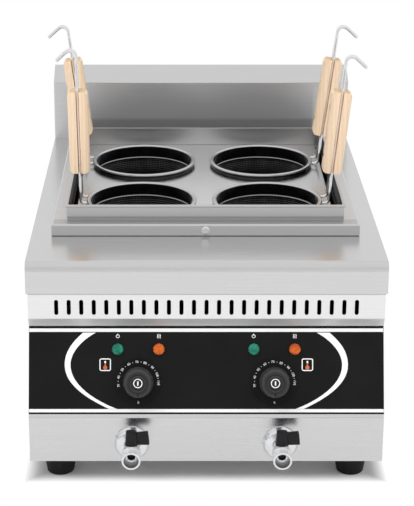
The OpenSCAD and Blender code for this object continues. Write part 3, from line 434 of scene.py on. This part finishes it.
casingLook = dict(grain=(9, 2200, 2200), smudge=6, dark=(0.65, 0.65, 0.655), light=(0.71, 0.71, 0.715),
                  rough=0.19, lineRough=0.06, smudgeRough=0.05, depth=0.10)
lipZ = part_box("worktop")[0].z
topZ = lipZ + 36.5 * mm  # the lip's height
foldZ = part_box("control_fascia")[1].z + 0.8 * mm  # the fold above the fascia
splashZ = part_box("splashback")[1].z
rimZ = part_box("well_collar")[1].z
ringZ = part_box("fl_basket_rim")[1].z - 2 * mm  # half the ring's wire
finishes = dict(
    casing=steelFinish("brushedCasing", casingLook),
    worktop=steelFinish("brushedWorktop", dict(casingLook, zones=[
        (topZ - 9.5 * mm, topZ - 6 * mm, 1.5 * mm, 1.06, 0.34)])),     # the rolled front edge, painted a little lighter as a highlight and made rougher
    splash=steelFinish("brushedSplash", dict(casingLook, zones=[
        (0, splashZ - 18.5 * mm, 0.5 * mm, 1.24, 0.20),                # the upright face, painted lighter and made rougher
        (0, splashZ - 66 * mm, 48 * mm, 0.66, 0, 0.153),               # painted shade and reflection of the dark well, darker towards the worktop
        (0, splashZ - 71 * mm, 5 * mm, 0.72, 0, 0.153)])),             # painted shade, darkest at the foot
    sides=steelFinish("brushedSides", dict(casingLook, grain=(2200, 9, 2200))),
    # the casing steel painted lighter, standing in for the brighter reflections on the front
    front=steelFinish("frontSteel", dict(casingLook, dark=(0.76, 0.76, 0.765), light=(0.83, 0.83, 0.835),
                                         rough=0.26, zones=[
        (lipZ - 2.8 * mm, lipZ + 2 * mm, 0.3 * mm, 0.6, 0),            # painted shadow under the lip
        (foldZ + 13.2 * mm, lipZ - 3 * mm, 0.2 * mm, 1.12, 0),         # the slotted strip, painted lighter as a reflection
        (foldZ + 1.7 * mm, foldZ + 13 * mm, 0.2 * mm, 1.04, 0.18),     # the step below it, painted a little lighter and made rougher
        (foldZ - 1.2 * mm, foldZ + 1.3 * mm, 0.2 * mm, 0.02, 0.30),    # painted shadow line along the fold above the fascia, made rougher
        (0, foldZ - 95 * mm, 0.5 * mm, 0.88, -0.06)])),                # the lower face, painted darker as shade, a little smoother
    plate=steelFinish("plateSteel", dict(casingLook, dark=(0.67, 0.67, 0.675), light=(0.73, 0.73, 0.735),
                                         rough=0.19)),
    collar=collarFinish("collarSteel", dict(casingLook, dark=(0.65, 0.65, 0.655), light=(0.71, 0.71, 0.715),
                                            rough=0.34, depth=0.03, streaks=(60, 9, 160),
                                            wall=(0.149, 0.1590), inside=(-0.1270, 0.1860), top=rimZ,
                                            hem=0.0007, wallRough=0.15, footShade=0.28,
                                            foot=(-0.0175, -0.0140), front=(-0.1290, -0.1280),
                                            wallShadeDark=(0.02, 0.02, 0.02), wallShadeStreak=(0.14, 0.14, 0.14), zones=[
        (rimZ - 0.6 * mm, rimZ + 1 * mm, 0.2 * mm, 0.95, 0.10)])),     # the hem
    # the tank steel is painted nearly black as the shade inside the well
    tank=steelFinish("tankSteel", dict(casingLook, grain=(900, 900, 9), dark=(0.06, 0.06, 0.06),
                                       light=(0.11, 0.11, 0.11), rough=0.35)),
    # the ring is painted bright on top as a highlight, black below as shade, and the band dark as its
    # reflection
    ring=ringFinish("ringSteel", dict(scale=60, dark=(0.34, 0.34, 0.34), light=(0.50, 0.50, 0.505),
                                      bead=(0.42, 0.42, 0.425), bright=(0.62, 0.62, 0.63), rough=0.10,
                                      vary=0.06, ringRough=0.08, depth=0.02, level=ringZ,
                                      ringDown=0.0006, beadDown=0.0131, wall=0.0615, footDown=0.0041,
                                      under=(0.03, 0.03, 0.03), foot=(0.06, 0.06, 0.06))),
    # the mesh wire is painted nearly black as the shade inside the basket
    mesh=metalFinish("meshWire", dict(scale=90, dark=(0.02, 0.02, 0.021), light=(0.045, 0.045, 0.046),
                                      rough=0.30, vary=0.15, depth=0.05, zones=[
        (ringZ - 21 * mm, ringZ, 14 * mm, 6, 0)])),                    # painted lighter near the ring, where light reaches in
    chrome=tapFinish("chrome", dict(scale=40, dark=(0.80, 0.80, 0.82), light=(0.88, 0.89, 0.91),
                                    rough=0.20, vary=0.06, depth=0.01, x=0.0832, bore=0.0083,
                                    deep=0.0074, inner=(0.42, 0.42, 0.42), innerRough=0.25,
                                    neck=(0.0008, 0.0150), neckUp=(0.002, 0.005), satin=0.7)),
    # the valve ball is painted nearly black, the shade inside the tap's body
    ball=metalFinish("valveBall", dict(scale=60, dark=(0.02, 0.02, 0.02), light=(0.05, 0.05, 0.05),
                                       rough=0.35, vary=0.1, depth=0.03)),
    wire=metalFinish("handleWire", dict(scale=60, dark=(0.84, 0.84, 0.85), light=(0.92, 0.92, 0.93),
                                        rough=0.26, vary=0.08, depth=0.02)),
    fastener=metalFinish("fastenerSteel", dict(scale=120, dark=(0.76, 0.76, 0.76), light=(0.88, 0.88, 0.88),
                                               rough=0.14, vary=0.06, depth=0.05)),
    element=metalFinish("elementSteel", dict(scale=70, dark=(0.10, 0.095, 0.09), light=(0.24, 0.23, 0.22),
                                             rough=0.40, vary=0.2, depth=0.08)),
    copper=metalFinish("copperTube", dict(scale=80, dark=(0.62, 0.30, 0.16), light=(0.80, 0.44, 0.27),
                                          rough=0.25, vary=0.15, depth=0.05)),
    fascia=mouldedFinish("fasciaFilm", dict(scale=18, skin=1500, dark=(0.008, 0.008, 0.0085),
                                            light=(0.011, 0.011, 0.0115), rough=0.30, vary=0.08,
                                            depth=0.03, gloss=0.10)),
    dial=mouldedFinish("dialBlack", dict(scale=30, skin=1800, dark=(0.006, 0.006, 0.0065),
                                         light=(0.009, 0.009, 0.0095), rough=0.32, vary=0.1,
                                         depth=0.03, gloss=0.10)),
    knob=knobFinish("knobPlastic", dict(scale=90, skin=2200, dark=(0.008, 0.008, 0.0085),
                                        light=(0.013, 0.013, 0.0135), paintedSheen=(0.045, 0.045, 0.046),
                                        rough=0.32, vary=0.1, depth=0.12, gloss=0.4, lean=21, x=0.076,
                                        ring=(0.0077, 0.0091), ringShare=0.8,
                                        edge=(0.0105, 0.0150))),
    plastic=mouldedFinish("blackPlastic", dict(scale=90, skin=2200, dark=(0.003, 0.003, 0.003),
                                               light=(0.006, 0.006, 0.006), rough=0.26, vary=0.12,
                                               depth=0.10, gloss=0.3)),
    rubber=mouldedFinish("footRubber", dict(scale=60, skin=1400, dark=(0.006, 0.006, 0.006),
                                            light=(0.014, 0.014, 0.014), rough=0.6, vary=0.2,
                                            depth=0.25, gloss=0.25)),
    moulding=mouldedFinish("creamMoulding", dict(scale=60, skin=1800, dark=(0.62, 0.58, 0.46),
                                                 light=(0.70, 0.66, 0.54), rough=0.45, vary=0.1,
                                                 depth=0.1, gloss=0.4)),
    print=mouldedFinish("whitePrint", dict(scale=40, skin=2500, dark=(0.93, 0.93, 0.92),
                                           light=(0.97, 0.97, 0.96), rough=0.45, vary=0.1,
                                           depth=0.05, gloss=0.2)),
    # sealant coloured dark grey, also standing in for the shade in the gap under the collar
    sealantShade=mouldedFinish("greySealantShade", dict(scale=50, skin=900, dark=(0.16, 0.16, 0.16),
                                              light=(0.22, 0.22, 0.22), rough=0.5, vary=0.1,
                                              depth=0.08, gloss=0.3)),
    redPrint=mouldedFinish("redPrint", dict(scale=40, skin=2500, dark=(0.60, 0.13, 0.05),
                                            light=(0.70, 0.21, 0.10), rough=0.45, vary=0.1,
                                            depth=0.05, gloss=0.2)),
    wood=woodFinish("birchGrip", dict(rings=70, run=(1, 0.6, 0.05), wander=(30, 30, 4), pores=(900, 900, 28),
                                      pore=(0.70, 0.48, 0.28), poreShare=0.35, rough=0.42, vary=0.18,
                                      end=(0.58, 0.40, 0.19), endShare=0.7, endSpan=(0.80, 0.93),
                                      depth=0.12, stops=[
        (0.15, (0.92, 0.67, 0.44)), (0.45, (0.97, 0.735, 0.525)), (0.75, (0.99, 0.785, 0.58))])),
    green=lensFinish("greenLens", dict(dark=(0.002, 0.12, 0.08), light=(0.006, 0.26, 0.17),
                                       ribs=150, clear=0.15, paintedGlow=0.12)),
    orange=lensFinish("orangeLens", dict(dark=(0.42, 0.06, 0.002), light=(0.72, 0.15, 0.006),
                                         ribs=150, clear=0.15, paintedGlow=0.12)),
)

corners = ("fl", "fr", "rl", "rr")
dressing = dict(
    casing=["back_panel", "bottom_plate"],
    worktop=["worktop"],
    splash=["splashback"],
    front=["front_panel"],
    sides=["side_panel_left", "side_panel_right"],
    plate=["basket_plate", "plate_ledges"],
    collar=["well_collar"],
    tank=["tank_left", "tank_right", "drain_pipes"],
    ring=[c + "_basket_rim" for c in corners],
    mesh=[c + "_basket_mesh" for c in corners],
    chrome=["tap_escutcheons", "tap_body_left", "tap_body_right"],
    ball=["valve_ball_left", "valve_ball_right"],
    wire=[c + "_handle_wire" for c in corners],
    fastener=["foot_studs", "back_screws", "collar_screws", "shaft_left", "shaft_right"]
    + [c + "_grip_pins" for c in corners],
    element=["heaters"],
    copper=["sensors"],
    fascia=["control_fascia"],
    dial=["dial_plates"],
    knob=["knob_left", "knob_right"],
    plastic=["lamp_holders", "tap_lever_left", "tap_lever_right", "cable_gland"],
    rubber=["feet"],
    moulding=["thermostats", "terminal_block"],
    wood=[c + "_grip" for c in corners],
    green=["power_lamps"],
    orange=["heat_lamps"],
)
for look, members in dressing.items():
    for member in members:
        nodes[member].data.materials.clear()
        nodes[member].data.materials.append(finishes[look])
print("finishes on", sum(len(m) for m in dressing.values()), "nodes")


def newPiece(name, bm, look, body, stands=(), smooth=None):
    mesh = bpy.data.meshes.new(name)
    bm.to_mesh(mesh)
    bm.free()
    mesh.materials.append(finishes[look])
    if smooth:
        mesh.shade_smooth()
        mesh.set_sharp_from_angle(angle=math.radians(smooth))
    piece = bpy.data.objects.new(name, mesh)
    scene.collection.objects.link(piece)
    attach(piece, body)
    if stands:
        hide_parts(*stands)


def joinTo(bm, other):
    mesh = bpy.data.meshes.new("joined")
    other.to_mesh(mesh)
    other.free()
    bm.from_mesh(mesh)
    bpy.data.meshes.remove(mesh)


basketBodies = dict(fl="front_left_basket", fr="front_right_basket",
                    rl="rear_left_basket", rr="rear_right_basket")

wireCup = dict(  # mm, measured down from the middle of the ring
    lip=61.2, lipDown=14.9, heel=49.5, floorDown=149.5, heelBend=14, eye=5,
    ringWire=4, around=100, rows=48, floorRows=14, wire=0.65,
)


def addWireCup(corner, look):
    rim = corner + "_basket_rim"
    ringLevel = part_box(rim)[1].z - look["ringWire"] / 2 * mm
    bm = bmesh.new()
    lip = bm.verts.new((look["lip"], 0, -look["lipDown"]))
    heel = bm.verts.new((look["heel"], 0, -look["floorDown"]))
    eye = bm.verts.new((look["eye"], 0, -look["floorDown"]))
    bm.edges.new((lip, heel))
    bm.edges.new((heel, eye))
    bmesh.ops.bevel(bm, geom=[heel], offset=look["heelBend"], affect="VERTICES",
                    segments=4, profile=0.5, material=-1)
    steep = max(bm.edges, key=lambda e: abs(e.verts[0].co.z - e.verts[1].co.z))
    flat = max(bm.edges, key=lambda e: abs(e.verts[0].co.x - e.verts[1].co.x))
    bmesh.ops.subdivide_edges(bm, edges=[steep], cuts=look["rows"])
    bmesh.ops.subdivide_edges(bm, edges=[flat], cuts=look["floorRows"])
    bmesh.ops.spin(bm, geom=bm.verts[:] + bm.edges[:], cent=(0, 0, 0), axis=(0, 0, 1),
                   angle=math.tau, steps=look["around"], use_merge=True)
    bmesh.ops.remove_doubles(bm, verts=bm.verts, dist=1e-4)
    bmesh.ops.recalc_face_normals(bm, faces=bm.faces)
    bmesh.ops.wireframe(bm, faces=bm.faces[:], thickness=look["wire"], use_replace=True,
                        use_boundary=True, use_even_offset=True)
    spot = middle(rim)
    bmesh.ops.scale(bm, vec=(mm, mm, mm), verts=bm.verts)
    bmesh.ops.translate(bm, vec=(spot.x, spot.y, ringLevel), verts=bm.verts)
    newPiece(corner + "WireCup", bm, "mesh", basketBodies[corner],
             [corner + "_basket_mesh"])


def addSmoothWire(corner):
    node = corner + "_handle_wire"
    bm = bmesh.new()
    bm.from_mesh(nodes[node].data)
    bmesh.ops.remove_doubles(bm, verts=bm.verts, dist=1e-6)
    newPiece(corner + "HandleWire", bm, "wire", basketBodies[corner], [node], smooth=60)


for corner in corners:
    addWireCup(corner, wireCup)
    addSmoothWire(corner)
print("baskets strung")


controlFace = dict(lean=21, inset=4.3, film=0.8)  # film is the fascia's thickness, mm


def controlPlace(look):  # x right, y up the slope from the knee, z out of the fascia
    low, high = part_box("control_fascia")
    lean = math.radians(look["lean"])
    inset, film = look["inset"] * mm, look["film"] * mm
    knee = Vector((0, low.y - inset * math.sin(lean) + film * math.cos(lean),
                   low.z - inset * math.cos(lean)))
    out = Matrix.Rotation(math.pi / 2 - lean, 4, "X") @ Matrix.Diagonal((mm, mm, mm, 1))
    return Matrix.Translation(knee) @ out @ Matrix.Translation((0, 0, look["film"]))


panel = controlPlace(controlFace)


def addFlat(bm, data, place):  # a curve or text made a mesh and set in place
    carrier = bpy.data.objects.new("carrier", data)
    scene.collection.objects.link(carrier)
    mesh = bpy.data.meshes.new_from_object(carrier.evaluated_get(bpy.context.evaluated_depsgraph_get()))
    bpy.data.objects.remove(carrier)
    start = len(bm.verts)
    bm.from_mesh(mesh)
    bpy.data.meshes.remove(mesh)
    bm.verts.ensure_lookup_table()
    bmesh.ops.transform(bm, matrix=place, verts=bm.verts[start:])


def flatOutline(bm, points, thick):  # bezier corners: place, then the way to its two handles
    data = bpy.data.curves.new("outline", "CURVE")
    data.dimensions = "2D"
    data.fill_mode = "BOTH"
    data.resolution_u = 16
    data.extrude = thick / 2
    line = data.splines.new("BEZIER")
    line.bezier_points.add(len(points) - 1)
    line.use_cyclic_u = True
    for knot, (spot, before, after) in zip(line.bezier_points, points):
        spot, before, after = (Vector((*p, 0)) for p in (spot, before, after))
        knot.co, knot.handle_left, knot.handle_right = spot, spot + before, spot + after
    addFlat(bm, data, Matrix.Translation((0, 0, thick / 2)))


def raiseFaces(bm, faces, made, place, thick):
    made = set(made)
    for item in bmesh.ops.extrude_face_region(bm, geom=faces)["geom"]:
        if isinstance(item, bmesh.types.BMVert):
            item.co.z += thick
            made.add(item)
    bmesh.ops.reverse_faces(bm, faces=faces)
    bmesh.ops.transform(bm, matrix=place, verts=list(made))


def addSlab(bm, place, wide, high, thick, round=0):  # a flat print with rounded corners
    made = bmesh.ops.create_grid(bm, x_segments=1, y_segments=1, size=0.5)["verts"]
    bmesh.ops.scale(bm, vec=(wide, high, 1), verts=made)
    if round:
        made = bmesh.ops.bevel(bm, geom=made, offset=round, affect="VERTICES", segments=4,
                               profile=0.5, material=-1)["verts"]
    raiseFaces(bm, list({f for v in made for f in v.link_faces}), made, place, thick)


fasciaPrint = dict(
    thick=0.06, wide=396, stripes=[(8.2, 3.6), (98.0, 3.9)],  # middle up the slope and height
    sweep=[  # the white sweep left of the middle
        ((-137.8, 95.2), (0, 0), (-10.6, -9.2)),
        ((-158.3, 59.1), (0, 16), (0, -23)),
        ((-108.8, 10.2), (-21.7, 10.1), (0, 0)),
        ((-99.7, 10.2), (0, 0), (-22.7, 8.3)),
        ((-151.8, 59.1), (0, -23), (0, 15)),
        ((-123.4, 95.2), (-14.5, -7.6), (0, 0)),
    ],
)


def addFasciaPrint(look):
    bm = bmesh.new()
    for level, high in look["stripes"]:
        addSlab(bm, Matrix.Translation((0, level, 0)), look["wide"], high, look["thick"])
    for side in (1, -1):
        half = bmesh.new()
        flatOutline(half, look["sweep"], look["thick"])
        if side < 0:
            bmesh.ops.scale(half, vec=(-1, 1, 1), verts=half.verts)
            bmesh.ops.reverse_faces(half, faces=half.faces)
        joinTo(bm, half)
    bmesh.ops.transform(bm, matrix=panel, verts=bm.verts)
    newPiece("fasciaPrint", bm, "print", "cabinet")


addFasciaPrint(fasciaPrint)


dialPrint = dict(
    knobX=76, knobUp=40.1, dialThick=1.2, size=3.7, thick=0.05, radius=22.5,
    labels=["30", "40", "50", "60", "70", "80", "90", "100", "110"], first=190, last=-1.5,
    dot=0.42, offMark="0",
)


def addDialPrint(name, side, look):
    bm = bmesh.new()
    count = len(look["labels"])
    step = (look["last"] - look["first"]) / (count - 1)
    marks = [(look["first"] + i * step, text) for i, text in enumerate(look["labels"])]
    marks += [(270, look["offMark"])]
    for angle, text in marks:
        data = bpy.data.curves.new("label", "FONT")
        data.body = text
        data.size = look["size"]
        data.align_x, data.align_y = "CENTER", "CENTER"
        data.extrude = look["thick"] / 2
        turn = Matrix.Rotation(math.radians(angle), 4, "Z")
        upright = Matrix.Rotation(math.radians(-90), 4, "Z")
        addFlat(bm, data, turn @ Matrix.Translation((look["radius"], 0, look["thick"] / 2)) @ upright)
    for i in range(count - 1):
        angle = math.radians(look["first"] + (i + 0.5) * step)
        spot = Vector((math.cos(angle), math.sin(angle), 0)) * look["radius"]
        spot.z = look["thick"]
        bmesh.ops.create_circle(bm, cap_ends=True, segments=8, radius=look["dot"],
                                matrix=Matrix.Translation(spot))
    place = Matrix.Translation((side * look["knobX"], look["knobUp"], look["dialThick"]))
    bmesh.ops.transform(bm, matrix=panel @ place, verts=bm.verts)
    newPiece(name, bm, "print", "cabinet")


addDialPrint("dialPrintLeft", -1, dialPrint)
addDialPrint("dialPrintRight", 1, dialPrint)


def addRing(bm, place, outer, inner, thick, steps=48):  # a flat printed ring
    made = bmesh.ops.create_circle(bm, segments=steps, radius=outer)["verts"]
    hole = bmesh.ops.create_circle(bm, segments=steps, radius=inner)["verts"]
    edges = list({e for v in made + hole for e in v.link_edges})
    faces = bmesh.ops.bridge_loops(bm, edges=edges)["faces"]
    raiseFaces(bm, faces, made + hole, place, thick)


def addFrame(bm, place, wide, high, line, round, thick):  # a flat printed frame with rounded corners
    made = bmesh.ops.create_grid(bm, x_segments=1, y_segments=1, size=0.5)["verts"]
    bmesh.ops.scale(bm, vec=(wide, high, 1), verts=made)
    made = bmesh.ops.bevel(bm, geom=made, offset=round, affect="VERTICES", segments=5,
                           profile=0.5, material=-1)["verts"]
    face = list({f for v in made for f in v.link_faces})
    border = bmesh.ops.inset_region(bm, faces=face, thickness=line, use_boundary=True)["faces"]
    made = {v for f in border for v in f.verts}
    bmesh.ops.delete(bm, geom=face, context="FACES")
    raiseFaces(bm, border, made, place, thick)


collarSealShade = dict(under=0.4, wide=1.6, high=1.0, round=1.5)  # mm, a bead of sealant under the collar, coloured dark grey so that it also stands in for the shade in the gap


def addCollarSealShade(look):
    low, high = (v.copy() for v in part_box("well_collar"))
    wide, deep = ((high - low) / mm - Vector.Fill(3, 2 * look["under"])).xy
    spot = middle("well_collar")
    bm = bmesh.new()
    place = Matrix.Translation((spot.x, spot.y, topZ)) @ Matrix.Diagonal((mm, mm, mm, 1))
    addFrame(bm, place, wide, deep, look["wide"], look["round"], look["high"])
    newPiece("collarSealShade", bm, "sealantShade", "cabinet")


addCollarSealShade(collarSealShade)


warmSign = dict(x=113, up=59.4, wide=12.8, high=14.0, line=1.15, round=2.2, thick=0.05,
                cap=(1.95, 2.6), capUp=3.0, capRound=0.7, bulb=2.3, bulbUp=-3.2,
                stem=(1.5, 3.3), stemUp=-0.2, stemThick=0.04)


def addWarmSign(side, look):  # a thermometer in a frame
    place = panel @ Matrix.Translation((side * look["x"], look["up"], 0))
    bm = bmesh.new()
    addFrame(bm, Matrix(), look["wide"], look["high"], look["line"], look["round"], look["thick"])
    addSlab(bm, Matrix.Translation((0, look["capUp"], 0)), *look["cap"], look["thick"], look["capRound"])
    bmesh.ops.transform(bm, matrix=place, verts=bm.verts)
    newPiece(f"warmSign{side}", bm, "print", "cabinet")
    bm = bmesh.new()
    bulb = bmesh.ops.create_circle(bm, cap_ends=True, segments=24, radius=look["bulb"])["verts"]
    raiseFaces(bm, list({f for v in bulb for f in v.link_faces}), bulb,
               Matrix.Translation((0, look["bulbUp"], 0)), look["thick"])
    addSlab(bm, Matrix.Translation((0, look["stemUp"], 0)), *look["stem"], look["stemThick"])
    bmesh.ops.transform(bm, matrix=place, verts=bm.verts)
    newPiece(f"warmBulb{side}", bm, "redPrint", "cabinet")


lampSign = dict(up=91.2, beside=23, thick=0.05, line=0.62, ring=2.1,
                bar=2.3, barUp=1.656, barThick=0.06, barRound=0.25,
                wave=1.5, dash=1.725, dashRound=0.2, lean=20)


def addLampSigns(side, look):  # a ring with a bar for power, three rising lines for heat
    middleX = side * dialPrint["knobX"]
    bm = bmesh.new()
    spot = Matrix.Translation((middleX - look["beside"], look["up"], 0))
    addRing(bm, spot, look["ring"], look["ring"] - look["line"], look["thick"])
    addSlab(bm, spot @ Matrix.Translation((0, look["barUp"], 0)), look["line"], look["bar"],
            look["barThick"], look["barRound"])
    for i in (-1, 0, 1):
        for j, way in ((-1, 1), (0, -1), (1, 1)):
            spot = Matrix.Translation((middleX + look["beside"] + i * look["wave"],
                                       look["up"] + j * look["wave"], 0))
            addSlab(bm, spot @ Matrix.Rotation(math.radians(way * look["lean"]), 4, "Z"), look["line"],
                    look["dash"], look["thick"], look["dashRound"])
    bmesh.ops.transform(bm, matrix=panel, verts=bm.verts)
    newPiece(f"lampSigns{side}", bm, "print", "cabinet")


knobMark = dict(face=22.0,  # above the fascia
                ring=5.1, line=1.0, bar=(1.5, 4.9), barRound=0.6, thick=0.05)


def addKnobMark(word, side, look):
    bm = bmesh.new()
    addRing(bm, Matrix(), look["ring"], look["ring"] - look["line"], look["thick"])
    addSlab(bm, Matrix(), *look["bar"], look["thick"], look["barRound"])
    place = Matrix.Translation((side * dialPrint["knobX"], dialPrint["knobUp"], look["face"]))
    bmesh.ops.transform(bm, matrix=panel @ place, verts=bm.verts)
    newPiece(word + "KnobMark", bm, "print", "knob_" + word)


for side, word in ((-1, "left"), (1, "right")):
    addWarmSign(side, warmSign)
    addLampSigns(side, lampSign)
    addKnobMark(word, side, knobMark)
print("fascia printed")


lens = dict(radius=6.6, skirt=1.3, dome=3.2, stand=1.0, up=76.7)


def addLenses(name, xs, look, colour, node):
    bm = bmesh.new()
    for x in xs:
        dome = bmesh.new()
        bmesh.ops.create_icosphere(dome, subdivisions=2, radius=look["radius"])
        bmesh.ops.bisect_plane(dome, geom=dome.verts[:] + dome.edges[:] + dome.faces[:],
                               plane_co=(0, 0, 0), plane_no=(0, 0, 1), clear_inner=True)
        bmesh.ops.scale(dome, vec=(1, 1, look["dome"] / look["radius"]), verts=dome.verts)
        rim = [e for e in dome.edges if e.is_boundary]
        skirt = bmesh.ops.extrude_edge_only(dome, edges=rim)["geom"]
        ends = [v for v in skirt if isinstance(v, bmesh.types.BMVert)]
        bmesh.ops.translate(dome, vec=(0, 0, -look["skirt"]), verts=ends)
        bmesh.ops.contextual_create(dome, geom=[e for e in skirt if isinstance(e, bmesh.types.BMEdge)
                                                and e.is_boundary])
        bmesh.ops.recalc_face_normals(dome, faces=dome.faces)
        lift = look["stand"] + look["skirt"]
        bmesh.ops.translate(dome, vec=(x, look["up"], lift), verts=dome.verts)
        joinTo(bm, dome)
    bmesh.ops.transform(bm, matrix=panel, verts=bm.verts)
    newPiece(name, bm, colour, "cabinet", [node])


knobX, beside = dialPrint["knobX"], lampSign["beside"]
addLenses("greenLenses", (-knobX - beside, knobX - beside), lens, "green", "power_lamps")
addLenses("orangeLenses", (-knobX + beside, knobX + beside), lens, "orange", "heat_lamps")
print("lamps faceted")
